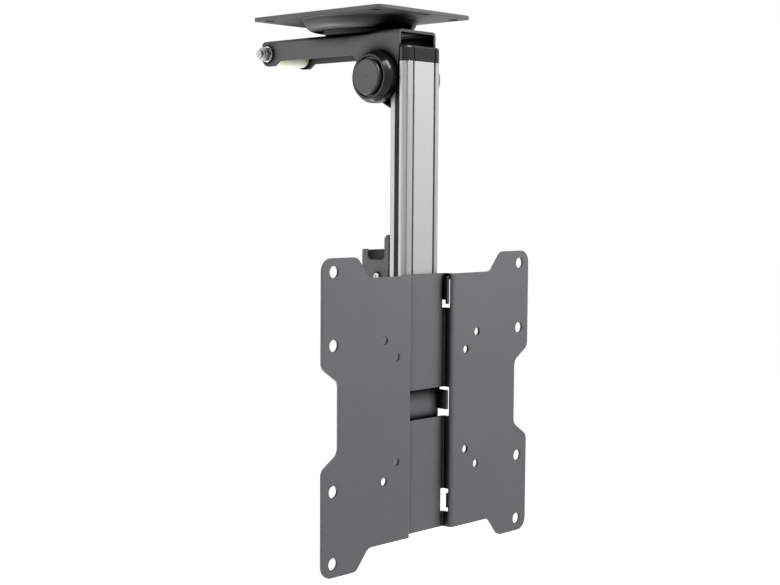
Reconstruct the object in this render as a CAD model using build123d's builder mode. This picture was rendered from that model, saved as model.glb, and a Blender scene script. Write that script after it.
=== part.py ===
from build123d import *
import os

# Folding ceiling mount for a flat television.
# A plate with a pressed dish is bolted to the ceiling. A channel arm swivels under the dish.
# A column hangs from the arm's front end on a hinge and carries the folded television plate.
# Folded up, the column lies under the arm, where a sprung catch takes the arm's nylon roller.
# Frame: the origin is the centre of the ceiling plate's top face, on the swivel axis.
# X points right, Y to the back and Z up, as seen by someone who faces the television plate.
# All sizes are in millimetres.

os.makedirs("parts", exist_ok=True)

# Clearances
running_gap = 0.1           # between faces that slide past each other
shaft_clearance = 0.05      # radial, round a shaft that turns
bolt_clearance = 0.25       # radial, round a bolt that only clamps
seat_gap = 0.3              # between a piece and the stop that it rests near
break_edge = 0.4            # small rounding of moulded and turned edges
nut_hexagon_share = 0.72    # of a lock nut's height
nut_collar_share = 0.43     # collar radius, of the width across flats
nut_collar_round = 0.8

# Ceiling plate, a pressed sheet
ceiling_width = 98.6
ceiling_length = 136.4
ceiling_sheet = 2.5
ceiling_corner_radius = 7.0
ceiling_hole_radius = 4.25
ceiling_hole_spacing_x = 82.0
ceiling_hole_spacing_y = 112.0
ceiling_slot_spacing = 125.0
ceiling_slot_length = 14.0
ceiling_slot_width = 6.5
dish_rim_radius = 43.5
dish_floor_radius = 39.5
dish_depth = 8.4
dish_fold_radius = 6.0
dish_rim_fold_radius = 2.0

# Swivel under the dish
swivel_bolt_radius = 6.0
swivel_bolt_tail = 2.0
swivel_head_flats = 18.0
swivel_head_height = 7.0
swivel_nut_height = 8.5
swivel_washer_radius = 12.0
swivel_washer_thickness = 1.8
glide_disc_radius = 28.0
glide_disc_thickness = 1.4
thrust_disc_radius = 26.5
thrust_disc_thickness = 1.5

# Arm, an inverted channel folded from one sheet
arm_half_width = 19.6
arm_sheet = 2.0
arm_fold_radius = 3.0
arm_front = 58.0            # in front of the swivel axis
arm_rear = 88.7             # behind the swivel axis
arm_wall_depth = 16.1
arm_end_radius = 3.0
arm_lobe_radius = 18.5
arm_lobe_blend = 6.0        # from the lobe back to where the wall is level

# Fold pivot, a bolt through both walls of the arm
pivot_back_from_front = 20.5
pivot_drop = 33.8           # below the top of the arm
pivot_bolt_radius = 4.0
pivot_head_flats = 13.0
pivot_head_height = 5.3
pivot_nut_height = 7.0
pivot_bolt_tail = 0.8
pivot_washer_radius = 9.0
pivot_washer_thickness = 1.6
disc_spring_radius = 8.5
disc_spring_sheet = 0.7
disc_spring_cone = 0.5
friction_washer_radius = 9.6
friction_washer_thickness = 1.1
sleeve_radius = 6.5

# Round housings over the fold pivot
housing_base_radius = 18.8
housing_rim_radius = 16.2
housing_rim_width = 1.6
housing_shoulder_depth = 6.4
housing_shoulder_round = 4.8
housing_depth = 10.4
housing_groove_depth = 1.8
housing_bore_radius = 11.0
cover_radius = 13.0
cover_stand = 3.0           # how far a cover stands out of its housing
cover_wall = 1.5
cover_leg_length = 4.0

# Roller between the arm's walls at the back
roller_in_from_rear = 6.8
roller_drop = 10.4          # below the top of the arm
roller_radius = 8.0
roller_lobe_radius = 7.0
roller_lobe_bottom = 9.3    # below the roller's axis
roller_lobe_length = 14.0
roller_lobe_slope = 5.0
roller_bolt_radius = 3.0
roller_head_flats = 10.0
roller_head_height = 4.0
roller_nut_height = 6.0
roller_bolt_tail = 2.3
roller_washer_radius = 6.0
roller_washer_thickness = 1.6

# Column, an extruded section: a wide rounded front, a cable channel and a narrower rear rail
column_length = 231.6
column_face_to_pivot = 27.5
column_top_above_pivot = 10.9
column_half_width = 19.5
column_front_depth = 6.3
column_shoulder_radius = 6.0
shoulder_groove_radius = 0.85
shoulder_groove_angle = 40.0  # round the shoulder from the face
rail_half_width = 17.2
rail_depth = 17.5
rail_corner_radius = 1.0
channel_mouth_half_width = 12.2
channel_half_width = 13.2
channel_lip = 2.0
channel_depth = 9.0
rib_inner = 6.8
rib_wall = 1.4
rib_bead = 0.4
rib_top = 4.2
rib_bead_height = 1.0
strip_slot_depth = 2.5
strip_slot_width = 6.6
strip_foot_width = 0.8
strip_foot_depth = 1.0
slot_mouth_half_width = 4.2
slot_half_width = 7.0
slot_lip = 2.0
slot_depth = 6.0
chamber_inner = 8.6
chamber_outer = 13.0
chamber_front = 10.8
chamber_rear = 15.7

# Clip-on cable cover in the column's face
cable_cover_half_width = 10.4
cable_cover_wall = 1.6
cable_cover_leg_length = 5.0
cable_cover_leg_wall = 1.2
cable_cover_clip_gap = 0.15
cable_cover_bead = 0.4

# Side strips and end caps of the column
strip_clearance = 0.15
top_cap_height = 11.4
top_cap_round = 2.2
bottom_cap_height = 3.0
bottom_cap_round = 0.8
cap_peg_length = 9.0
cap_peg_clearance = 0.2
cap_line_depth = 0.7

# Folded brackets on the column's back, and their screws
bracket_sheet = 2.0
bracket_fold_radius = 3.0
hinge_ear_radius = 17.5
hinge_ear_rise = 12.0       # above the pivot, where the ears leave the column
hinge_ear_fall = 22.7       # below the pivot, where the ears leave the column
hinge_tongue_half_width = 9.0
hinge_tongue_fall = 45.0    # below the pivot
hinge_screw_upper = 16.5    # below the pivot
hinge_screw_lower = 37.0    # below the pivot
screw_radius = 2.5
screw_head_radius = 4.75
screw_head_height = 2.75
screw_head_round = 1.2
screw_socket_flats = 3.0
screw_socket_depth = 1.6
nut_plate_half_width = 6.7
nut_plate_thickness = 3.6
nut_plate_overhang = 7.0    # past the outer screws

# Television plate, folded from one sheet
plate_sheet = 2.0
plate_fold_radius = 3.0
plate_half_width = 110.8
plate_half_height = 109.4
plate_corner_radius = 9.0
plate_middle_half_height = 94.6
plate_lobe_top_inner = 77.7
plate_lobe_foot = 65.6
plate_waist_half_width = 95.1
plate_waist_half_height = 24.5
plate_side_start = 34.8
plate_bend_radius = 7.0
recess_half_width = 22.0
recess_depth = 8.0
vesa_large = 200.0
vesa_middle = 100.0
vesa_small = 75.0
vesa_large_hole_radius = 4.3
vesa_small_hole_radius = 3.0
plate_hang = 16.0           # plate centre below the column's lower end

# Hooks of the carrier and the plate's slots that take them
window_top = 10.3
window_bottom = -11.6
slot_height = 21.0
top_slot_bottom = 69.0
lower_slot_bottom = -83.5
slot_height_low = 17.5
slot_front = 3.0
slot_reach_in = 2.8         # from the recess wall into the panel
slot_tongue_depth = 2.0
slot_tongue_margin = 3.4
hook_height = 15.0
hook_lip_up = 2.5
hook_lip_down = 3.0
hook_front_gap = 0.6
hook_lip_width = 1.8
hook_lip_gap = 1.0
tab_top = 8.0
tab_bottom = -6.2

# Carrier, the folded bracket that holds the plate to the column
carrier_sheet = 2.0
carrier_side_gap = 0.2      # to the walls of the plate's recess
carrier_web_gap = 2.0       # behind the plate's middle panel
carrier_fold_radius = 3.0
carrier_corner_radius = 4.0
carrier_top = 92.0
carrier_bottom = -92.0
carrier_web_top = 11.0
carrier_tail_depth = 9.0
carrier_tail_end = -45.0
carrier_plate_top = 70.0
carrier_plate_bottom = 20.0
carrier_screw_upper = 58.0
carrier_screw_lower = 32.0

# Catch base and sprung catch, heights above the plate's centre
catch_pivot_height = 92.1
catch_pivot_behind_column = 12.0
catch_pin_radius = 2.0
catch_pin_head_radius = 2.9
catch_pin_head_height = 1.8
catch_pin_head_round = 0.8
catch_pin_recess_length = 3.0
catch_pin_recess_width = 0.4
catch_pin_recess_depth = 0.9
catch_pin_nut_flats = 7.0
catch_pin_nut_height = 4.0
catch_pin_tail = 0.8
base_half_width = 15.1
base_ear_radius = 6.5
base_top = 108.0
base_bottom = 76.0
base_screw_upper = 103.6
base_screw_lower = 80.4
catch_sheet = 1.6
catch_side_gap = 0.2
catch_fold_radius = 2.4
catch_front_gap = 0.8
catch_stop_width = 4.4
catch_stop_top = 123.0
catch_stop_round = 4.2
catch_notch_length = 17.0
catch_notch_floor = 104.3
catch_notch_round = 3.0
catch_upright_width = 7.0
catch_upright_top = 112.0
catch_upright_round = 4.0
catch_foot = 72.0
catch_foot_front = 8.7      # behind the column's back
catch_foot_round = 4.0
catch_neck = 90.0
spring_wire_radius = 0.6
spring_coil_radius = 4.0
spring_turns = 6.25
spring_pitch = 1.9
spring_upper_leg = 5.4
spring_bend = 1.5

# Levels and axes worked out from the sizes above
dish_floor_z = -(ceiling_sheet + dish_depth)
arm_top_z = dish_floor_z - glide_disc_thickness - thrust_disc_thickness - running_gap
arm_roof_z = arm_top_z - arm_sheet
arm_wall_z = arm_top_z - arm_wall_depth
arm_inner = arm_half_width - arm_sheet
pivot_y = -arm_front + pivot_back_from_front
pivot_z = arm_top_z - pivot_drop
roller_y = arm_rear - roller_in_from_rear
roller_z = arm_top_z - roller_drop
roller_half_length = arm_inner - seat_gap
column_face_y = pivot_y - column_face_to_pivot
column_back_y = column_face_y + rail_depth
column_top_z = pivot_z + column_top_above_pivot
column_bottom_z = column_top_z - column_length
hinge_half_width = arm_inner - friction_washer_thickness - running_gap
web_back_y = column_back_y + bracket_sheet
plate_z = column_bottom_z - plate_hang
panel_back_y = column_face_y - seat_gap
panel_front_y = panel_back_y - plate_sheet
plate_face_y = panel_front_y - recess_depth
carrier_half_width = recess_half_width - carrier_side_gap
carrier_inner = carrier_half_width - carrier_sheet
carrier_web_y = panel_back_y + carrier_web_gap
catch_pivot_y = column_back_y + catch_pivot_behind_column
catch_pivot_z = plate_z + catch_pivot_height
catch_inner = base_half_width + catch_side_gap
catch_half_width = catch_inner + catch_sheet
far = 400.0                 # longer than any cut has to be

# Planes that the pieces are drawn on
fold_pivot = (0, pivot_y, pivot_z)
roller_axis = (0, roller_y, roller_z)
catch_axis = (0, catch_pivot_y, catch_pivot_z)
column_section = Plane((0, column_face_y, column_bottom_z))


def across(point, x):
    """A plane that faces right, at x on the crosswise axis through a point."""
    return Plane((x, point[1], point[2]), x_dir=(0, 1, 0), z_dir=(1, 0, 0))


def rectangle(x_low, x_high, y_low, y_high, mode=Mode.ADD):
    """A rectangle between two corners of the sketch."""
    with Locations(((x_low + x_high) / 2, (y_low + y_high) / 2)):
        Rectangle(x_high - x_low, y_high - y_low, mode=mode)


def outline(*corners, mode=Mode.ADD):
    """A closed outline through corners given as x, y and rounding."""
    points = [(x, y) for x, y, _ in corners]
    rounding = [radius for _, _, radius in corners]
    with BuildLine() as path:
        FilletPolyline(*points, radius=rounding, close=True)
    make_face(path.edges(), mode=mode)


def finish(piece, name):
    """Label a piece and write it."""
    piece.part.label = name
    export_step(piece.part, f"parts/{name}.step")


def ring(planes, radius, bore, thickness):
    """Flat washers on the given planes, on the side that each plane faces."""
    with BuildPart() as washers:
        for plane in planes:
            with BuildSketch(plane):
                Circle(radius)
                Circle(bore, mode=Mode.SUBTRACT)
            extrude(amount=thickness)
    return washers


def hex_bolt(seat, flats, head_height, shank_radius, grip):
    """A bolt whose head stands on the seat, with its shank on the other side."""
    with BuildPart() as bolt:
        with BuildSketch(seat):
            RegularPolygon(flats / 2, 6, major_radius=False)
        extrude(amount=head_height)
        chamfer(bolt.faces().sort_by(SortBy.AREA)[-2:].edges(), break_edge)
        with BuildSketch(seat):
            Circle(shank_radius)
        extrude(amount=-grip)
        chamfer(bolt.edges().filter_by(GeomType.CIRCLE).sort_by(
            lambda edge: (edge.center() - seat.origin).dot(seat.z_dir))[0], break_edge)
    return bolt


def lock_nut(seat, flats, height, bore):
    """A self-locking nut on the seat: a hexagon with a rounded collar on top."""
    with BuildPart() as nut:
        with BuildSketch(seat):
            RegularPolygon(flats / 2, 6, major_radius=False)
        extrude(amount=nut_hexagon_share * height)
        with BuildSketch(seat):
            Circle(nut_collar_share * flats)
        extrude(amount=height)
        fillet(nut.edges().filter_by(GeomType.CIRCLE).sort_by(
            lambda edge: (edge.center() - seat.origin).dot(seat.z_dir))[-1], nut_collar_round)
        with BuildSketch(seat):
            Circle(bore)
        extrude(amount=height, mode=Mode.SUBTRACT)
    return nut


# Ceiling plate: a rounded sheet with a dish pressed down in the middle
with BuildPart() as ceiling_plate:
    with BuildSketch(Plane.XY.offset(-ceiling_sheet)):
        RectangleRounded(ceiling_width, ceiling_length, ceiling_corner_radius)
    extrude(amount=ceiling_sheet)
    with BuildSketch(Plane.XZ):
        outline((0, -ceiling_sheet / 2, 0), (dish_rim_radius, -ceiling_sheet / 2, 0),
                (dish_rim_radius, -ceiling_sheet, 0),
                (dish_floor_radius, dish_floor_z, dish_fold_radius), (0, dish_floor_z, 0))
    revolve(axis=Axis.Z)
    fillet(ceiling_plate.edges().filter_by(GeomType.CIRCLE).filter_by(
        lambda edge: abs(edge.radius - dish_rim_radius) < break_edge
        and abs(edge.center().Z + ceiling_sheet) < break_edge), dish_rim_fold_radius)
    with BuildSketch(Plane.XZ):
        outline((0, 0, 0), (dish_rim_radius - ceiling_sheet, 0, 0),
                (dish_floor_radius - ceiling_sheet, -dish_depth, dish_fold_radius - ceiling_sheet),
                (0, -dish_depth, 0))
    revolve(axis=Axis.Z, mode=Mode.SUBTRACT)
    with BuildSketch(Plane.XY):
        with GridLocations(ceiling_hole_spacing_x, ceiling_hole_spacing_y, 2, 2):
            Circle(ceiling_hole_radius)
        with GridLocations(0, ceiling_slot_spacing, 1, 2):
            SlotOverall(ceiling_slot_length, ceiling_slot_width)
    extrude(amount=-ceiling_sheet, mode=Mode.SUBTRACT)
    with BuildSketch(Plane.XY):
        Circle(swivel_bolt_radius + shaft_clearance)
    extrude(amount=dish_floor_z, mode=Mode.SUBTRACT)
finish(ceiling_plate, "ceiling_plate")

# Swivel: a bolt down through the dish and the arm's roof, discs between them and a nut below
glide_disc = ring([Plane.XY.offset(dish_floor_z - glide_disc_thickness)],
                  glide_disc_radius, swivel_bolt_radius + shaft_clearance, glide_disc_thickness)
finish(glide_disc, "glide_disc")

thrust_disc_z = dish_floor_z - glide_disc_thickness - thrust_disc_thickness
thrust_disc = ring([Plane.XY.offset(thrust_disc_z)],
                   thrust_disc_radius, swivel_bolt_radius + shaft_clearance, thrust_disc_thickness)
finish(thrust_disc, "thrust_disc")

swivel_washer_z = arm_roof_z - running_gap - swivel_washer_thickness
swivel_washer = ring([Plane.XY.offset(swivel_washer_z)],
                     swivel_washer_radius, swivel_bolt_radius + shaft_clearance,
                     swivel_washer_thickness)
finish(swivel_washer, "swivel_washer")

swivel_nut_seat = Plane((0, 0, swivel_washer_z), x_dir=(1, 0, 0), z_dir=(0, 0, -1))
swivel_nut = lock_nut(swivel_nut_seat, swivel_head_flats, swivel_nut_height,
                      swivel_bolt_radius + shaft_clearance)
finish(swivel_nut, "swivel_nut")

swivel_grip = -dish_depth - swivel_washer_z + swivel_nut_height + swivel_bolt_tail
swivel_bolt = hex_bolt(Plane.XY.offset(-dish_depth), swivel_head_flats, swivel_head_height,
                       swivel_bolt_radius, swivel_grip)
finish(swivel_bolt, "swivel_bolt")

# Arm: a channel open below, with lobes round the fold pivot and the roller
lobe_front_y = pivot_y - arm_lobe_radius
lobe_rear_y = pivot_y + arm_lobe_radius
roller_lobe_z = roller_z - roller_lobe_bottom
roller_lobe_front_y = arm_rear - roller_lobe_length
with BuildPart() as arm_channel:
    with BuildSketch(Plane.XZ.offset(-arm_rear)):
        outline((-arm_half_width, arm_top_z, arm_fold_radius),
                (arm_half_width, arm_top_z, arm_fold_radius),
                (arm_half_width, pivot_z - arm_lobe_radius, 0),
                (-arm_half_width, pivot_z - arm_lobe_radius, 0))
        outline((-arm_inner, arm_roof_z, arm_fold_radius - arm_sheet),
                (arm_inner, arm_roof_z, arm_fold_radius - arm_sheet),
                (arm_inner, pivot_z - arm_lobe_radius, 0), (-arm_inner, pivot_z - arm_lobe_radius, 0),
                mode=Mode.SUBTRACT)
    extrude(amount=arm_rear + arm_front)
    with BuildSketch(Plane.YZ):
        outline((-arm_front, arm_top_z, 0), (arm_rear, arm_top_z, arm_end_radius),
                (arm_rear, roller_lobe_z, roller_lobe_radius),
                (roller_lobe_front_y, roller_lobe_z, arm_end_radius),
                (roller_lobe_front_y - roller_lobe_slope, arm_wall_z, arm_end_radius),
                (lobe_rear_y + arm_lobe_blend, arm_wall_z, arm_lobe_blend),
                (lobe_rear_y, pivot_z, 0), (lobe_front_y, pivot_z, 0),
                (-arm_front, arm_wall_z, arm_lobe_blend))
        with Locations((pivot_y, pivot_z)):
            Circle(arm_lobe_radius)
    extrude(amount=arm_half_width, both=True, mode=Mode.INTERSECT)
    with BuildSketch(Plane.YZ):
        with Locations((pivot_y, pivot_z)):
            Circle(pivot_bolt_radius + shaft_clearance)
        with Locations((roller_y, roller_z)):
            Circle(roller_bolt_radius + shaft_clearance)
    extrude(amount=arm_half_width, both=True, mode=Mode.SUBTRACT)
    with BuildSketch(Plane.XY.offset(arm_top_z)):
        Circle(swivel_bolt_radius + shaft_clearance)
    extrude(amount=-arm_sheet, mode=Mode.SUBTRACT)
finish(arm_channel, "arm_channel")

# Roller at the arm's back, and the bolt that it turns on
with BuildPart() as nylon_roller:
    with BuildSketch(across(roller_axis, -roller_half_length)):
        Circle(roller_radius)
    extrude(amount=2 * roller_half_length)
    chamfer(nylon_roller.edges().filter_by(GeomType.CIRCLE), break_edge)
    with BuildSketch(across(roller_axis, -roller_half_length)):
        Circle(roller_bolt_radius + shaft_clearance)
    extrude(amount=2 * roller_half_length, mode=Mode.SUBTRACT)
finish(nylon_roller, "nylon_roller")

roller_washer_outside = arm_half_width + roller_washer_thickness
roller_washers = ring([across(roller_axis, arm_half_width), across(roller_axis, -roller_washer_outside)],
                      roller_washer_radius, roller_bolt_radius + shaft_clearance, roller_washer_thickness)
finish(roller_washers, "roller_washers")

roller_grip = 2 * roller_washer_outside + roller_nut_height + roller_bolt_tail
roller_bolt = hex_bolt(across(roller_axis, roller_washer_outside), roller_head_flats,
                       roller_head_height, roller_bolt_radius, roller_grip)
finish(roller_bolt, "roller_bolt")

roller_nut_seat = Plane((-roller_washer_outside, roller_y, roller_z), x_dir=(0, 1, 0), z_dir=(-1, 0, 0))
roller_nut = lock_nut(roller_nut_seat, roller_head_flats, roller_nut_height,
                      roller_bolt_radius + shaft_clearance)
finish(roller_nut, "roller_nut")

# Fold pivot hardware: bolt, washers, disc springs and nut, hidden in the round housings
pivot_washer_outside = arm_half_width + pivot_washer_thickness
pivot_washers = ring([across(fold_pivot, arm_half_width), across(fold_pivot, -pivot_washer_outside)],
                     pivot_washer_radius, pivot_bolt_radius + shaft_clearance, pivot_washer_thickness)
finish(pivot_washers, "pivot_washers")

spring_stack = 2 * (disc_spring_sheet + disc_spring_cone)
disc_spring_side = Plane((-pivot_washer_outside, pivot_y, pivot_z), x_dir=(-1, 0, 0), z_dir=(0, 1, 0))
disc_spring_bore = pivot_bolt_radius + shaft_clearance
with BuildPart() as disc_springs:
    with BuildSketch(disc_spring_side):
        outline((0, disc_spring_radius, 0), (disc_spring_sheet, disc_spring_radius, 0),
                (disc_spring_sheet + disc_spring_cone, disc_spring_bore, 0),
                (disc_spring_cone, disc_spring_bore, 0))
        outline((spring_stack, disc_spring_radius, 0),
                (spring_stack - disc_spring_sheet, disc_spring_radius, 0),
                (spring_stack / 2, disc_spring_bore, 0),
                (spring_stack / 2 + disc_spring_sheet, disc_spring_bore, 0))
    revolve(axis=Axis(fold_pivot, (1, 0, 0)))
finish(disc_springs, "disc_springs")

pivot_nut_x = -pivot_washer_outside - spring_stack
pivot_nut_seat = Plane((pivot_nut_x, pivot_y, pivot_z), x_dir=(0, 1, 0), z_dir=(-1, 0, 0))
pivot_nut = lock_nut(pivot_nut_seat, pivot_head_flats, pivot_nut_height,
                     pivot_bolt_radius + shaft_clearance)
finish(pivot_nut, "pivot_nut")

pivot_grip = pivot_washer_outside - pivot_nut_x + pivot_nut_height + pivot_bolt_tail
pivot_bolt = hex_bolt(across(fold_pivot, pivot_washer_outside), pivot_head_flats,
                      pivot_head_height, pivot_bolt_radius, pivot_grip)
finish(pivot_bolt, "pivot_bolt")

friction_washers = ring([across(fold_pivot, hinge_half_width + running_gap),
                         across(fold_pivot, -arm_inner)],
                        friction_washer_radius, pivot_bolt_radius + shaft_clearance,
                        friction_washer_thickness)
finish(friction_washers, "friction_washers")


def pivot_housing(side):
    """A round housing on one wall of the arm, with a raised rim round a sunk ring."""
    ledge = housing_depth - housing_groove_depth
    rim_inside = housing_rim_radius - housing_rim_width
    wall = Plane((side * arm_half_width, pivot_y, pivot_z), x_dir=(side, 0, 0), z_dir=(0, -side, 0))
    with BuildPart() as housing:
        with BuildSketch(wall):
            outline((0, housing_bore_radius, 0), (0, housing_base_radius, break_edge),
                    (housing_shoulder_depth, housing_base_radius, housing_shoulder_round),
                    (housing_depth, housing_rim_radius, break_edge),
                    (housing_depth, rim_inside, break_edge), (ledge, rim_inside, break_edge),
                    (ledge, housing_bore_radius, break_edge))
        revolve(axis=Axis(fold_pivot, (1, 0, 0)))
    return housing


def pivot_cover(side):
    """The round cover that snaps into a housing, standing proud of its rim."""
    ledge = housing_depth - housing_groove_depth
    face = housing_depth + cover_stand
    leg_outside = housing_bore_radius - shaft_clearance
    leg_inside = leg_outside - cover_wall
    leg_end = ledge - cover_leg_length
    wall = Plane((side * arm_half_width, pivot_y, pivot_z), x_dir=(side, 0, 0), z_dir=(0, -side, 0))
    with BuildPart() as cover:
        with BuildSketch(wall):
            outline((face, 0, 0), (face - break_edge / 2, cover_radius, cover_wall),
                    (ledge, cover_radius, break_edge), (ledge, leg_outside, 0),
                    (leg_end, leg_outside, break_edge), (leg_end, leg_inside, break_edge),
                    (face - cover_wall, leg_inside, break_edge), (face - cover_wall, 0, 0))
        revolve(axis=Axis(fold_pivot, (1, 0, 0)))
    return cover


for side, side_name in ((-1, "left"), (1, "right")):
    finish(pivot_housing(side), f"pivot_housing_{side_name}")
    finish(pivot_cover(side), f"pivot_cover_{side_name}")

# Column: the section is drawn with its depth measured back from the face
shoulder_center = column_half_width - column_shoulder_radius
strip_slot_back = column_front_depth + strip_slot_width
strip_slot_floor = rail_half_width - strip_slot_depth
with BuildPart() as column_profile:
    with BuildSketch(column_section):
        outline((-column_half_width, 0, column_shoulder_radius),
                (column_half_width, 0, column_shoulder_radius),
                (column_half_width, column_front_depth, 0), (-column_half_width, column_front_depth, 0))
        outline((-rail_half_width, column_front_depth, 0), (rail_half_width, column_front_depth, 0),
                (rail_half_width, rail_depth, rail_corner_radius),
                (-rail_half_width, rail_depth, rail_corner_radius))
        rectangle(-channel_mouth_half_width, channel_mouth_half_width, 0, channel_lip, mode=Mode.SUBTRACT)
        rectangle(-channel_half_width, channel_half_width, channel_lip, channel_depth, mode=Mode.SUBTRACT)
        rectangle(-slot_mouth_half_width, slot_mouth_half_width, rail_depth - slot_lip, rail_depth,
                  mode=Mode.SUBTRACT)
        rectangle(-slot_half_width, slot_half_width, rail_depth - slot_depth, rail_depth - slot_lip,
                  mode=Mode.SUBTRACT)
        for side in (-1, 1):
            rib_low, rib_high = sorted((side * rib_inner, side * (rib_inner + rib_wall)))
            rectangle(rib_low, rib_high, rib_top, channel_depth)
            bead_low, bead_high = sorted((side * rib_inner, side * (rib_inner + rib_wall + rib_bead)))
            rectangle(bead_low, bead_high, rib_top, rib_top + rib_bead_height)
            strip_low, strip_high = sorted((side * strip_slot_floor, side * rail_half_width))
            rectangle(strip_low, strip_high, column_front_depth, strip_slot_back, mode=Mode.SUBTRACT)
            foot_low, foot_high = sorted((side * strip_slot_floor,
                                          side * (strip_slot_floor + strip_foot_depth)))
            rectangle(foot_low, foot_high, column_front_depth, strip_slot_back + strip_foot_width,
                      mode=Mode.SUBTRACT)
            chamber_low, chamber_high = sorted((side * chamber_inner, side * chamber_outer))
            rectangle(chamber_low, chamber_high, chamber_front, chamber_rear, mode=Mode.SUBTRACT)
            groove = Vector(0, -column_shoulder_radius).rotate(Axis.Z, side * shoulder_groove_angle)
            with Locations((side * shoulder_center + groove.X, column_shoulder_radius + groove.Y)):
                Circle(shoulder_groove_radius, mode=Mode.SUBTRACT)
    extrude(amount=column_length)
finish(column_profile, "column_profile")

# Cable cover: a flat strip whose two legs clip over the ribs in the column's channel
leg_in = rib_inner + rib_wall + rib_bead + cable_cover_clip_gap
leg_out = leg_in + cable_cover_leg_wall
leg_end = cable_cover_wall + cable_cover_leg_length
bead_in = leg_in - cable_cover_bead
with BuildPart() as cable_cover:
    with BuildSketch(column_section):
        outline((-cable_cover_half_width, 0, break_edge), (cable_cover_half_width, 0, break_edge),
                (cable_cover_half_width, cable_cover_wall, 0), (-cable_cover_half_width, cable_cover_wall, 0))
        for side in (-1, 1):
            leg_low, leg_high = sorted((side * leg_in, side * leg_out))
            rectangle(leg_low, leg_high, cable_cover_wall, leg_end)
            bead_low, bead_high = sorted((side * bead_in, side * leg_out))
            rectangle(bead_low, bead_high, leg_end - cable_cover_leg_wall, leg_end)
    extrude(amount=column_length)
finish(cable_cover, "cable_cover")


def side_strip(side):
    """A plastic strip with a foot, slid into the slot in one side of the column."""
    face = rail_half_width - strip_clearance
    floor = strip_slot_floor + strip_clearance
    foot = strip_slot_floor + strip_foot_depth - strip_clearance
    front = column_front_depth + strip_clearance
    back = strip_slot_back - strip_clearance
    with BuildPart() as strip:
        with BuildSketch(column_section):
            face_low, face_high = sorted((side * floor, side * face))
            rectangle(face_low, face_high, front, back)
            foot_low, foot_high = sorted((side * floor, side * foot))
            rectangle(foot_low, foot_high, front, back + strip_foot_width)
        extrude(amount=column_length)
    return strip


for side, side_name in ((-1, "left"), (1, "right")):
    finish(side_strip(side), f"side_strip_{side_name}")


def end_cap(end_z, direction, height, rounding):
    """A plastic cap on one end of the column, with pegs that fill part of its cable channel."""
    base = Plane((0, column_face_y, end_z))
    peg_half_width = channel_half_width - cap_peg_clearance
    peg_inner = leg_out + cap_peg_clearance
    line_outer = channel_mouth_half_width
    step_y = column_face_y + column_front_depth
    with BuildPart() as cap:
        with BuildSketch(base):
            outline((-column_half_width, 0, column_shoulder_radius),
                    (column_half_width, 0, column_shoulder_radius),
                    (column_half_width, column_front_depth, 0),
                    (rail_half_width, column_front_depth, 0),
                    (rail_half_width, rail_depth, rail_corner_radius),
                    (-rail_half_width, rail_depth, rail_corner_radius),
                    (-rail_half_width, column_front_depth, 0),
                    (-column_half_width, column_front_depth, 0))
        extrude(amount=direction * height)
        outer_face = cap.faces().sort_by(Axis.Z)[-1 if direction > 0 else 0]
        fillet(outer_face.edges().filter_by(
            lambda edge: abs(edge.center().Y - step_y) > break_edge), rounding)
        with BuildSketch(base):
            for side in (-1, 1):
                line_low, line_high = sorted((side * cable_cover_half_width, side * line_outer))
                rectangle(line_low, line_high, 0, cap_line_depth)
        extrude(amount=direction * height, mode=Mode.SUBTRACT)
        with BuildSketch(base):
            for side in (-1, 1):
                peg_low, peg_high = sorted((side * peg_inner, side * peg_half_width))
                rectangle(peg_low, peg_high, channel_lip + cap_peg_clearance,
                          channel_depth - cap_peg_clearance)
        extrude(amount=-direction * cap_peg_length)
    return cap


finish(end_cap(column_top_z, 1, top_cap_height, top_cap_round), "top_cap")
finish(end_cap(column_bottom_z, -1, bottom_cap_height, bottom_cap_round), "bottom_cap")

# Hinge bracket: ears folded back between the arm's walls, and a tongue down the column's back
ear_end_y = pivot_y + hinge_ear_radius
hinge_inner = hinge_half_width - bracket_sheet
tongue_top_z = pivot_z - hinge_ear_fall + bracket_sheet
tongue_bottom_z = pivot_z - hinge_tongue_fall
with BuildPart() as hinge_bracket:
    with BuildSketch(Plane.XY.offset(pivot_z - hinge_ear_fall)):
        outline((-hinge_half_width, column_back_y, bracket_fold_radius),
                (hinge_half_width, column_back_y, bracket_fold_radius),
                (hinge_half_width, ear_end_y, 0), (-hinge_half_width, ear_end_y, 0))
        outline((-hinge_inner, web_back_y, bracket_fold_radius - bracket_sheet),
                (hinge_inner, web_back_y, bracket_fold_radius - bracket_sheet),
                (hinge_inner, ear_end_y, 0), (-hinge_inner, ear_end_y, 0), mode=Mode.SUBTRACT)
    extrude(amount=hinge_ear_fall + hinge_ear_radius)
    with BuildSketch(Plane.YZ):
        outline((column_back_y, pivot_z + hinge_ear_rise, 0), (pivot_y, pivot_z + hinge_ear_radius, 0),
                (pivot_y, pivot_z - hinge_ear_radius, 0), (column_back_y, pivot_z - hinge_ear_fall, 0))
        with Locations((pivot_y, pivot_z)):
            Circle(hinge_ear_radius)
    extrude(amount=hinge_half_width, both=True, mode=Mode.INTERSECT)
    with BuildSketch(Plane.XZ.offset(-web_back_y)):
        outline((-hinge_tongue_half_width, tongue_top_z, 0), (hinge_tongue_half_width, tongue_top_z, 0),
                (hinge_tongue_half_width, tongue_bottom_z, bracket_fold_radius),
                (-hinge_tongue_half_width, tongue_bottom_z, bracket_fold_radius))
    extrude(amount=bracket_sheet)
    with BuildSketch(Plane.YZ):
        with Locations((pivot_y, pivot_z)):
            Circle(pivot_bolt_radius + shaft_clearance)
    extrude(amount=hinge_half_width, both=True, mode=Mode.SUBTRACT)
    with BuildSketch(Plane.XZ.offset(-web_back_y)):
        with Locations((0, pivot_z - hinge_screw_upper), (0, pivot_z - hinge_screw_lower)):
            Circle(screw_radius + bolt_clearance)
    extrude(amount=bracket_sheet, mode=Mode.SUBTRACT)
finish(hinge_bracket, "hinge_bracket")

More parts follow.
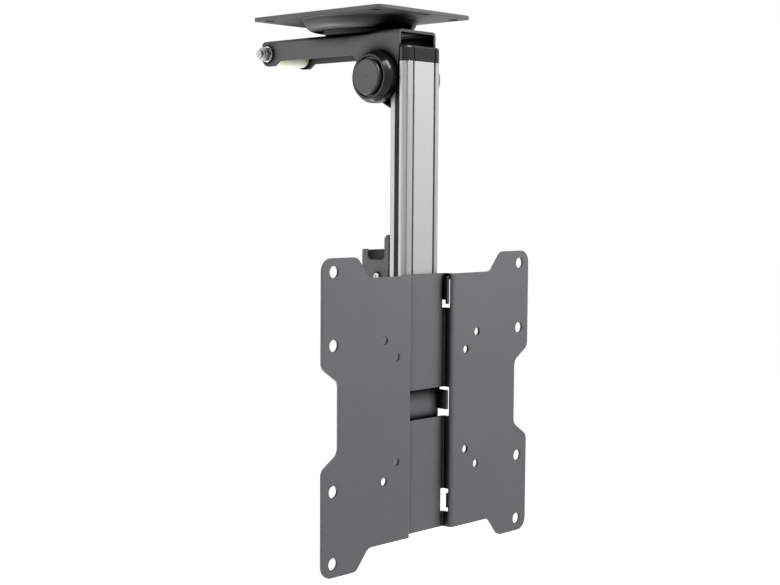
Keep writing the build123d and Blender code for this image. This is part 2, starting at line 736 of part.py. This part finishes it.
# Sleeve that keeps the hinge ears apart round the pivot bolt
hinge_sleeve = ring([across(fold_pivot, -hinge_inner)], sleeve_radius,
                    pivot_bolt_radius + shaft_clearance, 2 * hinge_inner)
finish(hinge_sleeve, "hinge_sleeve")

# Television plate: two wings joined by a recessed panel, all one folded sheet
sheet_middle = plate_face_y + plate_sheet / 2
wall_middle = recess_half_width + plate_sheet / 2
bend_middle = plate_fold_radius - plate_sheet / 2
with BuildPart() as tv_plate:
    with BuildSketch(Plane.XY.offset(plate_z - plate_half_height)):
        with BuildLine() as fold_line:
            FilletPolyline((-plate_half_width, sheet_middle), (-wall_middle, sheet_middle),
                           (-wall_middle, sheet_middle + recess_depth),
                           (wall_middle, sheet_middle + recess_depth), (wall_middle, sheet_middle),
                           (plate_half_width, sheet_middle), radius=bend_middle)
        trace(line_width=plate_sheet)
    extrude(amount=2 * plate_half_height)
    with BuildSketch(Plane.XZ.offset(-plate_face_y)) as front_view:
        with Locations((0, plate_z)):
            Rectangle(2 * plate_waist_half_width, 2 * plate_middle_half_height)
        for side in (-1, 1):
            for end in (-1, 1):
                side_z = plate_z + end * plate_side_start
                top_z = plate_z + end * plate_half_height
                foot_z = plate_z + end * plate_middle_half_height
                outline((side * plate_waist_half_width, plate_z + end * plate_waist_half_height, 0),
                        (side * plate_half_width, side_z, plate_bend_radius),
                        (side * plate_half_width, top_z, plate_corner_radius),
                        (side * plate_lobe_top_inner, top_z, plate_bend_radius),
                        (side * plate_lobe_foot, foot_z, 0),
                        (side * plate_lobe_foot, plate_z + end * plate_side_start, 0))
        inner_corners = [vertex for vertex in front_view.vertices()
                         if abs(abs(vertex.X) - plate_waist_half_width) < break_edge
                         or abs(abs(vertex.X) - plate_lobe_foot) < break_edge]
        fillet(inner_corners, plate_bend_radius)
    extrude(amount=-far, both=True, mode=Mode.INTERSECT)
    with BuildSketch(Plane.XZ):
        with Locations((0, plate_z)):
            with GridLocations(vesa_large, vesa_large, 2, 2):
                Circle(vesa_large_hole_radius)
            with GridLocations(vesa_large, vesa_middle, 2, 2):
                Circle(vesa_large_hole_radius)
            with GridLocations(vesa_middle, vesa_middle, 2, 2):
                Circle(vesa_small_hole_radius)
            with GridLocations(vesa_small, vesa_small, 2, 2):
                Circle(vesa_small_hole_radius)
    extrude(amount=far, mode=Mode.SUBTRACT)
    # Slots in the folds, drawn from above: they leave the front of each wall standing
    slot_x_low = recess_half_width - slot_reach_in
    slot_x_high = recess_half_width + plate_sheet + running_gap
    slot_y_low = plate_face_y + slot_front
    slot_y_high = panel_back_y + running_gap
    for side in (-1, 1):
        slot_low, slot_high = sorted((side * slot_x_low, side * slot_x_high))
        with BuildSketch(Plane.XY.offset(plate_z + top_slot_bottom)):
            rectangle(slot_low, slot_high, slot_y_low, slot_y_high)
        extrude(amount=slot_height, mode=Mode.SUBTRACT)
        with BuildSketch(Plane.XY.offset(plate_z + lower_slot_bottom)):
            rectangle(slot_low, slot_high, slot_y_low + slot_tongue_depth, slot_y_high)
        extrude(amount=slot_height_low, mode=Mode.SUBTRACT)
        for edge_z in (lower_slot_bottom, lower_slot_bottom + slot_height_low - slot_tongue_margin):
            with BuildSketch(Plane.XY.offset(plate_z + edge_z)):
                rectangle(slot_low, slot_high, slot_y_low, slot_y_high)
            extrude(amount=slot_tongue_margin, mode=Mode.SUBTRACT)
    with BuildSketch(Plane.XY.offset(plate_z + window_bottom)):
        rectangle(-slot_x_high, slot_x_high, slot_y_low, slot_y_high)
    extrude(amount=window_top - window_bottom, mode=Mode.SUBTRACT)
finish(tv_plate, "tv_plate")

# Carrier: flanges beside the column with hooks and tabs through the plate, and a web below it
hook_top_z = plate_z + top_slot_bottom + slot_height
hook_bottom_z = hook_top_z - hook_height
hook_front_y = plate_face_y + slot_front + hook_front_gap
hook_lip_y = panel_front_y - hook_lip_gap
carrier_back_y = column_back_y + bracket_sheet
tail_back_y = carrier_web_y + carrier_tail_depth
with BuildPart() as carrier_bracket:
    with BuildSketch(Plane.XY.offset(plate_z + carrier_bottom)):
        outline((-carrier_half_width, carrier_web_y, carrier_fold_radius),
                (carrier_half_width, carrier_web_y, carrier_fold_radius),
                (carrier_half_width, carrier_back_y, 0), (-carrier_half_width, carrier_back_y, 0))
        outline((-carrier_inner, carrier_web_y + carrier_sheet, carrier_fold_radius - carrier_sheet),
                (carrier_inner, carrier_web_y + carrier_sheet, carrier_fold_radius - carrier_sheet),
                (carrier_inner, carrier_back_y, 0), (-carrier_inner, carrier_back_y, 0), mode=Mode.SUBTRACT)
    extrude(amount=carrier_web_top - carrier_bottom)
    with BuildSketch(Plane.YZ):
        outline((carrier_web_y, plate_z + carrier_bottom, 0),
                (tail_back_y, plate_z + carrier_bottom, carrier_corner_radius),
                (tail_back_y, plate_z + carrier_tail_end, carrier_corner_radius),
                (carrier_back_y, plate_z + tab_bottom, carrier_corner_radius),
                (carrier_back_y, plate_z + carrier_web_top, 0), (carrier_web_y, plate_z + carrier_web_top, 0))
    extrude(amount=carrier_half_width, both=True, mode=Mode.INTERSECT)
    with BuildSketch(across((0, 0, 0), carrier_inner)):
        outline((carrier_web_y, plate_z + carrier_top, 0),
                (carrier_back_y, plate_z + carrier_top, carrier_corner_radius),
                (carrier_back_y, plate_z + carrier_web_top, 0), (carrier_web_y, plate_z + carrier_web_top, 0))
        rectangle(carrier_web_y, carrier_web_y + carrier_fold_radius, plate_z + tab_bottom,
                  plate_z + carrier_web_top)
        rectangle(hook_front_y, carrier_web_y, hook_bottom_z, hook_top_z)
        rectangle(hook_front_y, hook_lip_y, hook_top_z, hook_top_z + hook_lip_up)
        rectangle(hook_front_y, hook_front_y + hook_lip_width, hook_bottom_z - hook_lip_down, hook_bottom_z)
        rectangle(hook_front_y, carrier_web_y, plate_z + tab_bottom, plate_z + tab_top)
    extrude(amount=carrier_sheet)
    mirror(about=Plane.YZ)
finish(carrier_bracket, "carrier_bracket")

# Cross plate between the flanges, screwed to the column's back
with BuildPart() as carrier_plate:
    with BuildSketch(Plane.XZ.offset(-carrier_back_y)):
        rectangle(-carrier_inner, carrier_inner, plate_z + carrier_plate_bottom, plate_z + carrier_plate_top)
        with Locations((0, plate_z + carrier_screw_upper), (0, plate_z + carrier_screw_lower)):
            Circle(screw_radius + bolt_clearance, mode=Mode.SUBTRACT)
    extrude(amount=bracket_sheet)
finish(carrier_plate, "carrier_plate")

# Catch base: a folded channel on the column's back that holds the catch's pin
base_inner = base_half_width - bracket_sheet
base_end = catch_pivot_y + base_ear_radius
with BuildPart() as catch_base:
    with BuildSketch(Plane.XY.offset(plate_z + base_bottom)):
        outline((-base_half_width, column_back_y, bracket_fold_radius),
                (base_half_width, column_back_y, bracket_fold_radius),
                (base_half_width, base_end, 0), (-base_half_width, base_end, 0))
        outline((-base_inner, web_back_y, bracket_fold_radius - bracket_sheet),
                (base_inner, web_back_y, bracket_fold_radius - bracket_sheet),
                (base_inner, base_end, 0), (-base_inner, base_end, 0), mode=Mode.SUBTRACT)
    extrude(amount=base_top - base_bottom)
    with BuildSketch(Plane.YZ):
        outline((column_back_y, plate_z + base_top, 0), (web_back_y, plate_z + base_top, 0),
                (catch_pivot_y, catch_pivot_z + base_ear_radius, 0),
                (catch_pivot_y, catch_pivot_z - base_ear_radius, 0),
                (web_back_y, plate_z + base_bottom, 0), (column_back_y, plate_z + base_bottom, 0))
        with Locations((catch_pivot_y, catch_pivot_z)):
            Circle(base_ear_radius)
    extrude(amount=base_half_width, both=True, mode=Mode.INTERSECT)
    with BuildSketch(Plane.YZ):
        with Locations((catch_pivot_y, catch_pivot_z)):
            Circle(catch_pin_radius + shaft_clearance)
    extrude(amount=base_half_width, both=True, mode=Mode.SUBTRACT)
    with BuildSketch(Plane.XZ.offset(-web_back_y)):
        with Locations((0, plate_z + base_screw_upper), (0, plate_z + base_screw_lower)):
            Circle(screw_radius + bolt_clearance)
    extrude(amount=bracket_sheet, mode=Mode.SUBTRACT)
finish(catch_base, "catch_base")

# Catch: a folded channel with a tall front stop, a notch for the roller and a ramped rear wall
stop_front_y = column_back_y + catch_front_gap
notch_front_y = stop_front_y + catch_stop_width
notch_rear_y = notch_front_y + catch_notch_length
catch_rear_y = notch_rear_y + catch_upright_width
with BuildPart() as catch:
    with BuildSketch(Plane.XY.offset(plate_z + catch_foot)):
        outline((-catch_half_width, stop_front_y, 0), (catch_half_width, stop_front_y, 0),
                (catch_half_width, catch_rear_y, catch_fold_radius),
                (-catch_half_width, catch_rear_y, catch_fold_radius))
        outline((-catch_inner, stop_front_y, 0), (catch_inner, stop_front_y, 0),
                (catch_inner, catch_rear_y - catch_sheet, catch_fold_radius - catch_sheet),
                (-catch_inner, catch_rear_y - catch_sheet, catch_fold_radius - catch_sheet),
                mode=Mode.SUBTRACT)
    extrude(amount=catch_stop_top - catch_foot)
    with BuildSketch(Plane.YZ):
        outline((stop_front_y, plate_z + catch_stop_top, 0),
                (notch_front_y, plate_z + catch_stop_top, catch_stop_round),
                (notch_front_y, plate_z + catch_notch_floor, catch_notch_round),
                (notch_rear_y, plate_z + catch_notch_floor, catch_notch_round),
                (notch_rear_y, plate_z + catch_upright_top, catch_notch_round / 2),
                (catch_rear_y, plate_z + catch_upright_top, catch_upright_round),
                (catch_rear_y, plate_z + catch_foot, catch_foot_round),
                (column_back_y + catch_foot_front, plate_z + catch_foot, catch_foot_round),
                (stop_front_y, plate_z + catch_neck, catch_foot_round))
    extrude(amount=catch_half_width, both=True, mode=Mode.INTERSECT)
    with BuildSketch(Plane.YZ):
        with Locations((catch_pivot_y, catch_pivot_z)):
            Circle(catch_pin_radius + shaft_clearance)
    extrude(amount=catch_half_width, both=True, mode=Mode.SUBTRACT)
finish(catch, "catch")

# Pin of the catch, with a cross-recessed head on the left and a nut on the right
pin_seat_x = catch_half_width + running_gap
pin_head = Plane((-pin_seat_x, catch_pivot_y, catch_pivot_z), x_dir=(0, 1, 0), z_dir=(-1, 0, 0))
pin_grip = 2 * pin_seat_x + catch_pin_nut_height + catch_pin_tail
with BuildPart() as catch_pin:
    with BuildSketch(pin_head):
        Circle(catch_pin_head_radius)
    extrude(amount=catch_pin_head_height)
    fillet(catch_pin.faces().sort_by(Axis.X)[0].edges(), catch_pin_head_round)
    with BuildSketch(pin_head):
        Circle(catch_pin_radius)
    extrude(amount=-pin_grip)
    with BuildSketch(pin_head.offset(catch_pin_head_height)):
        Rectangle(catch_pin_recess_length, catch_pin_recess_width)
        Rectangle(catch_pin_recess_width, catch_pin_recess_length)
    extrude(amount=-catch_pin_recess_depth, mode=Mode.SUBTRACT)
finish(catch_pin, "catch_pin")

catch_pin_nut = lock_nut(across(catch_axis, pin_seat_x), catch_pin_nut_flats, catch_pin_nut_height,
                         catch_pin_radius + shaft_clearance)
finish(catch_pin_nut, "catch_pin_nut")

# Torsion spring of the catch: a coil round the pin, one leg by the base and one on the catch
coil_length = spring_turns * spring_pitch
coil_start_x = -coil_length / 2
coil_front_y = catch_pivot_y - spring_coil_radius
coil_bottom_z = catch_pivot_z - spring_coil_radius
upper_leg_z = catch_pivot_z + spring_upper_leg
upper_leg_end_y = web_back_y + seat_gap
lower_leg_end_y = catch_rear_y - catch_sheet
coil_plane = Plane((coil_start_x, catch_pivot_y, catch_pivot_z), x_dir=(0, -1, 0), z_dir=(1, 0, 0))
coil = coil_plane * Helix(spring_pitch, coil_length, spring_coil_radius)
with BuildPart() as catch_spring:
    with BuildSketch(Plane(coil @ 0, z_dir=coil % 0)):
        Circle(spring_wire_radius)
    sweep(path=coil, is_frenet=True)
    with BuildLine() as upper_leg:
        FilletPolyline((coil_start_x, coil_front_y, catch_pivot_z), (coil_start_x, coil_front_y, upper_leg_z),
                       (coil_start_x, upper_leg_end_y, upper_leg_z), radius=spring_bend)
    with BuildSketch(Plane(upper_leg.line @ 0, z_dir=upper_leg.line % 0)):
        Circle(spring_wire_radius)
    sweep(path=upper_leg.line)
    with BuildSketch(Plane((-coil_start_x, catch_pivot_y, coil_bottom_z), z_dir=(0, 1, 0))):
        Circle(spring_wire_radius)
    extrude(amount=lower_leg_end_y - catch_pivot_y)
finish(catch_spring, "catch_spring")

# Nut plates in the column's rear slot, one under each bracket
bracket_screws = (
    (pivot_z - hinge_screw_upper, pivot_z - hinge_screw_lower),
    (plate_z + base_screw_upper, plate_z + base_screw_lower),
    (plate_z + carrier_screw_upper, plate_z + carrier_screw_lower),
)
nut_plate_back_y = column_back_y - slot_lip
with BuildPart() as slot_nut_plates:
    for upper_z, lower_z in bracket_screws:
        with BuildSketch(Plane.XZ.offset(-nut_plate_back_y)):
            rectangle(-nut_plate_half_width, nut_plate_half_width,
                      lower_z - nut_plate_overhang, upper_z + nut_plate_overhang)
            with Locations((0, upper_z), (0, lower_z)):
                Circle(screw_radius + shaft_clearance, mode=Mode.SUBTRACT)
        extrude(amount=nut_plate_thickness)
finish(slot_nut_plates, "slot_nut_plates")

# Button-head screws from the brackets into the nut plates
screw_length = bracket_sheet + slot_lip + nut_plate_thickness
with BuildPart() as bracket_screw_set:
    for upper_z, lower_z in bracket_screws:
        for screw_z in (upper_z, lower_z):
            head = Plane((0, web_back_y, screw_z), x_dir=(1, 0, 0), z_dir=(0, 1, 0))
            with BuildSketch(head):
                Circle(screw_head_radius)
            extrude(amount=screw_head_height)
            with BuildSketch(head):
                Circle(screw_radius)
            extrude(amount=-screw_length)
            with BuildSketch(head.offset(screw_head_height)):
                RegularPolygon(screw_socket_flats / 2, 6, major_radius=False)
            extrude(amount=-screw_socket_depth, mode=Mode.SUBTRACT)
    rims = bracket_screw_set.edges().filter_by(GeomType.CIRCLE).filter_by(
        lambda edge: abs(edge.radius - screw_head_radius) < break_edge
        and abs(edge.center().Y - web_back_y - screw_head_height) < break_edge)
    fillet(rims, screw_head_round)
finish(bracket_screw_set, "bracket_screws")
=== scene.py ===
import math

import bpy
from mathutils import Matrix, Vector

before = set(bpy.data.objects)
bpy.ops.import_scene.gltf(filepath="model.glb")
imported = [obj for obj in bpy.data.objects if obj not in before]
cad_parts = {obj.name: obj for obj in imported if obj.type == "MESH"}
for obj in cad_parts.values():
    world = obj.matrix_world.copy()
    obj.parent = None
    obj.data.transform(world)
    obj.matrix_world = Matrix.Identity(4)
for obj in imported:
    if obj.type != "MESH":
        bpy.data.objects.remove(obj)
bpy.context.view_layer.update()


# Places of the sockets that a mix node has for colours
mix_factor, mix_first, mix_second = 0, 6, 7
mix_result = 2


class Tree:
    """The node tree of a material or a world, with short calls for the nodes used here."""

    def __init__(self, owner):
        owner.use_nodes = True
        self.owner = owner
        self.nodes = owner.node_tree.nodes
        self.links = owner.node_tree.links

    def link(self, source, target):
        self.links.new(source, target)

    def node(self, kind, **settings):
        made = self.nodes.new(kind)
        for key, value in settings.items():
            setattr(made, key, value)
        return made

    def coordinates(self, stretch=(1, 1, 1)):
        """Row-frame coordinates in metres, stretched along the axes."""
        place = self.node("ShaderNodeTexCoord")
        mapping = self.node("ShaderNodeMapping")
        mapping.inputs["Scale"].default_value = stretch
        self.link(place.outputs["Object"], mapping.inputs["Vector"])
        return mapping.outputs["Vector"]

    def noise(self, vector, scale, detail=2.0, roughness=0.5):
        made = self.node("ShaderNodeTexNoise")
        made.inputs["Scale"].default_value = scale
        made.inputs["Detail"].default_value = detail
        made.inputs["Roughness"].default_value = roughness
        self.link(vector, made.inputs["Vector"])
        return made.outputs["Fac"]

    def spread(self, value, low, high, start=0.3, end=0.7):
        """Maps a value between start and end to low and high."""
        made = self.node("ShaderNodeMapRange")
        made.inputs["From Min"].default_value = start
        made.inputs["From Max"].default_value = end
        made.inputs["To Min"].default_value = low
        made.inputs["To Max"].default_value = high
        self.link(value, made.inputs["Value"])
        return made.outputs["Result"]

    def mix(self, factor, first, second):
        """A colour between two, each a colour or a socket."""
        made = self.node("ShaderNodeMix", data_type="RGBA")
        self.link(factor, made.inputs[mix_factor])
        for place, value in ((mix_first, first), (mix_second, second)):
            if isinstance(value, tuple):
                made.inputs[place].default_value = (*value, 1.0)
            else:
                self.link(value, made.inputs[place])
        return made.outputs[mix_result]

    def bump(self, height, strength, distance, normal=None):
        made = self.node("ShaderNodeBump")
        made.inputs["Strength"].default_value = strength
        made.inputs["Distance"].default_value = distance
        self.link(height, made.inputs["Height"])
        if normal is not None:
            self.link(normal, made.inputs["Normal"])
        return made.outputs["Normal"]

    def soft_edges(self, radius):
        """A normal that rounds the edges, and a mask that is 1 on them."""
        bevel = self.node("ShaderNodeBevel", samples=6)
        bevel.inputs["Radius"].default_value = radius
        flat = self.node("ShaderNodeNewGeometry")
        dot = self.node("ShaderNodeVectorMath", operation="DOT_PRODUCT")
        self.link(bevel.outputs["Normal"], dot.inputs[0])
        self.link(flat.outputs["True Normal"], dot.inputs[1])
        mask = self.spread(dot.outputs["Value"], 1.0, 0.0, start=0.86, end=0.985)
        return bevel.outputs["Normal"], mask

    def openness(self, distance):
        """A value that falls from 1 towards 0 in corners and hollows."""
        made = self.node("ShaderNodeAmbientOcclusion", samples=8)
        made.inputs["Distance"].default_value = distance
        return made.outputs["AO"]

    def ray_is(self, *kinds):
        """1 for the kinds of ray that are named, and 0 for the others."""
        path = self.node("ShaderNodeLightPath")
        result = path.outputs[kinds[0]]
        for kind in kinds[1:]:
            either = self.node("ShaderNodeMath", operation="MAXIMUM")
            self.link(result, either.inputs[0])
            self.link(path.outputs[kind], either.inputs[1])
            result = either.outputs["Value"]
        return result

    def set(self, **values):
        for key, value in values.items():
            socket = self.shader.inputs[key.replace("_", " ")]
            socket.default_value = (*value, 1.0) if isinstance(value, tuple) else value


def material_tree(name):
    """The tree of a new material, with its shader at hand."""
    tree = Tree(bpy.data.materials.new(name))
    tree.shader = tree.nodes["Principled BSDF"]
    return tree


def tint(color, factor):
    return tuple(channel * factor for channel in color)


# Powder coat's darker edges, and painted shade in its hollows: lengths in metres, and tones as shares
# of its colour
powder_edge_radius = 0.0006
powder_edge_tone = 0.28
painted_shade_reach = 0.012
painted_shade_tone = 0.03

# Openness at which the painted shade is darkest, and from which the coat keeps its own tone and shine
painted_shade_dark_at = 0.68
painted_shade_clear_at = 0.94


def powder_coat(name, color, level=0.35):
    """Fine-textured powder coat: a dense grain, slow changes of tone, darker edges, and painted shade
    that darkens and dulls it in hollows.
    """
    tree = material_tree(name)
    place = tree.coordinates()
    grain = tree.noise(place, scale=2400, detail=3)
    patches = tree.noise(place, scale=14, detail=3, roughness=0.6)
    speckle = tree.noise(place, scale=900, detail=2)
    tone = tree.mix(tree.spread(patches, 0, 1), tint(color, 0.93), tint(color, 1.07))
    tone = tree.mix(tree.spread(speckle, 0, 1, start=0.35, end=0.65), tone, tint(color, 1.04))
    normal, mask = tree.soft_edges(powder_edge_radius)
    tone = tree.mix(mask, tone, tint(color, powder_edge_tone))
    # Painted shade: ambient occlusion darkens the coat in corners and hollows to a few percent of its
    # colour, and takes its shine away there
    openness = tree.openness(painted_shade_reach)
    outside_painted_shade = tree.spread(openness, 0, 1, start=painted_shade_dark_at, end=painted_shade_clear_at)
    tone = tree.mix(outside_painted_shade, tint(color, painted_shade_tone), tone)
    shine_with_painted_shade = tree.spread(openness, 0.0, level, start=painted_shade_dark_at, end=painted_shade_clear_at)
    tree.link(tone, tree.shader.inputs["Base Color"])
    tree.link(tree.spread(grain, 0.46, 0.60), tree.shader.inputs["Roughness"])
    tree.link(tree.bump(grain, 0.12, distance=0.00012, normal=normal), tree.shader.inputs["Normal"])
    tree.link(shine_with_painted_shade, tree.shader.inputs["Specular IOR Level"])
    return tree.owner


def anodised(name, color):
    """Matt anodised extrusion: faint die lines along its length, slow changes of tone, and a faint
    painted highlight on its edges.
    """
    tree = material_tree(name)
    lines = tree.noise(tree.coordinates((1, 1, 0.012)), scale=2600, detail=3)
    patches = tree.noise(tree.coordinates(), scale=9, detail=2)
    fine = tree.noise(tree.coordinates(), scale=3200, detail=1)
    tone = tree.mix(tree.spread(lines, 0, 1), tint(color, 0.97), tint(color, 1.03))
    tone = tree.mix(tree.spread(patches, 0, 0.5), tone, tint(color, 0.95))
    normal, mask = tree.soft_edges(radius=0.0004)
    # Painted highlight: edges a little lighter than the face
    tone = tree.mix(mask, tone, tint(color, 1.12))
    tree.link(tone, tree.shader.inputs["Base Color"])
    tree.link(tree.spread(fine, 0.40, 0.50), tree.shader.inputs["Roughness"])
    tree.link(tree.bump(lines, 0.08, distance=0.00008, normal=normal), tree.shader.inputs["Normal"])
    tree.set(Metallic=0.4)
    return tree.owner


def moulded(name, color, rough=(0.24, 0.33), level=0.25, painted_edge_highlight=2.6):
    """Satin moulded plastic: a soft spark-eroded grain and a painted highlight on its edges."""
    tree = material_tree(name)
    place = tree.coordinates()
    grain = tree.noise(place, scale=1700, detail=2)
    patches = tree.noise(place, scale=40, detail=2)
    tone = tree.mix(tree.spread(patches, 0, 1), tint(color, 0.85), tint(color, 1.15))
    normal, mask = tree.soft_edges(radius=0.0005)
    # Painted highlight: edges lightened to a multiple of the colour
    tone = tree.mix(mask, tone, tint(color, painted_edge_highlight))
    tree.link(tone, tree.shader.inputs["Base Color"])
    tree.link(tree.spread(patches, *rough), tree.shader.inputs["Roughness"])
    tree.link(tree.bump(grain, 0.08, distance=0.0001, normal=normal), tree.shader.inputs["Normal"])
    tree.set(Specular_IOR_Level=level)
    return tree.owner


def nylon(name, color):
    """Cast nylon: slightly see-through, with faint turning rings and a little grime."""
    tree = material_tree(name)
    rings = tree.noise(tree.coordinates((1, 0.02, 0.02)), scale=1500, detail=2)
    grime = tree.noise(tree.coordinates(), scale=160, detail=4, roughness=0.65)
    tone = tree.mix(tree.spread(grime, 0, 1, start=0.55, end=0.8), color, tint(color, 0.86))
    tree.link(tone, tree.shader.inputs["Base Color"])
    tree.link(tree.spread(rings, 0.34, 0.46), tree.shader.inputs["Roughness"])
    tree.link(tree.bump(rings, 0.1, distance=0.0001), tree.shader.inputs["Normal"])
    tree.set(Subsurface_Weight=0.12, Subsurface_Scale=0.002)
    return tree.owner


def bright_metal(name, color, rough=(0.26, 0.42)):
    """Bright zinc plating or steel: cloudy crystals, fine scratches and rounded edges."""
    tree = material_tree(name)
    clouds = tree.noise(tree.coordinates(), scale=520, detail=4, roughness=0.6)
    scratches = tree.noise(tree.coordinates((1, 1, 0.05)), scale=3800, detail=2)
    tone = tree.mix(tree.spread(clouds, 0, 1), tint(color, 0.88), tint(color, 1.08))
    normal, mask = tree.soft_edges(radius=0.0003)
    tone = tree.mix(mask, tone, tint(color, 1.2))
    tree.link(tone, tree.shader.inputs["Base Color"])
    tree.link(tree.spread(clouds, *rough), tree.shader.inputs["Roughness"])
    relief = tree.bump(scratches, 0.06, distance=0.00005, normal=normal)
    tree.link(relief, tree.shader.inputs["Normal"])
    tree.set(Metallic=1.0)
    return tree.owner


# Materials, and the CAD nodes that wear them
looks = {
    powder_coat("powder_plate", (0.130, 0.135, 0.139)): (
        "tv_plate", "carrier_bracket", "carrier_plate"),
    # Painted shade: the arm wears the plate's black coat, copied darker for the shade on it
    powder_coat("powder_arm_painted_shade", (0.090, 0.092, 0.093)): (
        "arm_channel", "hinge_bracket", "catch_base", "catch"),
    # Painted shade: the ceiling plate wears the same black coat, copied darker still for the shade
    # under its dish
    powder_coat("powder_ceiling_painted_shade", (0.066, 0.068, 0.069), level=0.5): ("ceiling_plate",),
    anodised("anodised_column", (0.39, 0.39, 0.39)): ("column_profile",),
    anodised("anodised_cover", (0.465, 0.465, 0.465)): ("cable_cover",),
    # Painted shade and painted highlight: the housings' black is darker than the other black plastics,
    # standing in for dark reflections, and their edges carry a strong painted highlight
    moulded("plastic_housing_painted_shade_and_highlight", (0.006, 0.006, 0.0064), rough=(0.18, 0.26), level=0.25, painted_edge_highlight=6.0): (
        "pivot_housing_left", "pivot_housing_right"),
    moulded("plastic_cover", (0.014, 0.014, 0.0145), rough=(0.36, 0.46), level=0.5): (
        "pivot_cover_left", "pivot_cover_right"),
    moulded("plastic_strip", (0.010, 0.010, 0.0105), rough=(0.45, 0.55), level=0.15): (
        "side_strip_left", "side_strip_right"),
    moulded("plastic_cap", (0.012, 0.012, 0.0125)): ("top_cap", "bottom_cap"),
    moulded("plastic_disc", (0.02, 0.02, 0.02), rough=(0.5, 0.6)): (
        "glide_disc", "thrust_disc", "friction_washers"),
    nylon("cream_nylon", (1.0, 1.0, 0.84)): ("nylon_roller",),
    bright_metal("zinc_plating", (0.30, 0.30, 0.295)): (
        "swivel_nut", "swivel_bolt", "roller_bolt", "roller_nut", "pivot_nut", "pivot_bolt",
        "catch_pin", "catch_pin_nut", "bracket_screws", "slot_nut_plates", "hinge_sleeve"),
    bright_metal("zinc_washers", (0.66, 0.66, 0.65), rough=(0.22, 0.34)): (
        "swivel_washer", "roller_washers", "pivot_washers"),
    bright_metal("spring_steel", (0.42, 0.42, 0.43), rough=(0.24, 0.32)): (
        "catch_spring", "disc_springs"),
}
for material, names in looks.items():
    for name in names:
        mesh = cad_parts[name].data
        mesh.materials.clear()
        mesh.materials.append(material)


# Studio: lengths and places in metres, and strengths of the light
floor_size = 14
floor_level = -0.62
floor_glow = 0.9
world_fill = 0.07
lamp_target = Vector((0, -0.02, -0.2))


def floor_paint():
    """Pale paint that glows only where it is seen or mirrored, to meet the white background."""
    tree = material_tree("floor_paint")
    tree.set(Base_Color=(0.80, 0.80, 0.80), Roughness=0.9, Specular_IOR_Level=0.1,
             Emission_Color=(1.0, 1.0, 1.0))
    glow = tree.spread(tree.ray_is("Is Camera Ray", "Is Glossy Ray"), 0.0, floor_glow,
                       start=0.0, end=1.0)
    tree.link(glow, tree.shader.inputs["Emission Strength"])
    return tree.owner


# Floor: a pale sheet well below the mount, since the mount hangs from a ceiling
bpy.ops.mesh.primitive_plane_add(size=floor_size, location=(0, 0, floor_level))
floor = bpy.context.object
floor.name = "floor"
floor.data.materials.append(floor_paint())

# World: white where it is seen, mirrored or seen through, softer where it only lights
world = bpy.data.worlds.new("studio")
bpy.context.scene.world = world
sky = Tree(world)
background = sky.nodes["Background"]
background.inputs["Color"].default_value = (1, 1, 1, 1)
white_ray = sky.ray_is("Is Camera Ray", "Is Glossy Ray", "Is Transmission Ray")
strength = sky.spread(white_ray, world_fill, 1.0, start=0.0, end=1.0)
sky.link(strength, background.inputs["Strength"])


def soft_box(name, place, size, power):
    """A rectangular lamp aimed at the middle of the mount."""
    light = bpy.data.lights.new(name, "AREA")
    light.shape = "RECTANGLE"
    light.size, light.size_y = size
    light.energy = power
    lamp = bpy.data.objects.new(name, light)
    lamp.location = place
    lamp.visible_camera = False
    lamp.rotation_mode = "QUATERNION"
    lamp.rotation_quaternion = (lamp_target - Vector(place)).to_track_quat("-Z", "Y")
    bpy.context.scene.collection.objects.link(lamp)


soft_box("key", place=(0.1, -0.40, 0.42), size=(0.5, 0.4), power=10)
soft_box("side", place=(-1.9, 1.0, 0.1), size=(1.2, 1.4), power=22)
soft_box("low", place=(-0.1, 0.3, -0.55), size=(0.4, 0.4), power=3)


# Camera at the photograph's place: metres and degrees, with lens and sensor in millimetres
camera_place = (-0.7808, -0.7725, -0.1290)
camera_azimuth = 46.529
camera_elevation = 4.046
camera_roll = 0.414
camera_lens = 66.87
sensor_width = 36
nearest, farthest = 0.05, 50


def photo_camera():
    """A camera that looks along its azimuth and down by its elevation, rolled as the photograph is."""
    azimuth, elevation, roll = map(math.radians, (camera_azimuth, camera_elevation, camera_roll))
    forward = Vector((math.sin(azimuth) * math.cos(elevation),
                      math.cos(azimuth) * math.cos(elevation),
                      -math.sin(elevation)))
    level_right = Vector((math.cos(azimuth), -math.sin(azimuth), 0))
    level_up = level_right.cross(forward)
    right = level_right * math.cos(roll) + level_up * math.sin(roll)
    up = level_up * math.cos(roll) - level_right * math.sin(roll)
    turn = Matrix((right, up, -forward)).transposed().to_4x4()
    data = bpy.data.cameras.new("camera")
    data.sensor_width = sensor_width
    data.lens = camera_lens
    data.clip_start, data.clip_end = nearest, farthest
    made = bpy.data.objects.new("camera", data)
    made.matrix_world = Matrix.Translation(camera_place) @ turn
    bpy.context.scene.collection.objects.link(made)
    return made


bpy.context.scene.camera = photo_camera()
bpy.context.scene.view_settings.view_transform = "Standard"
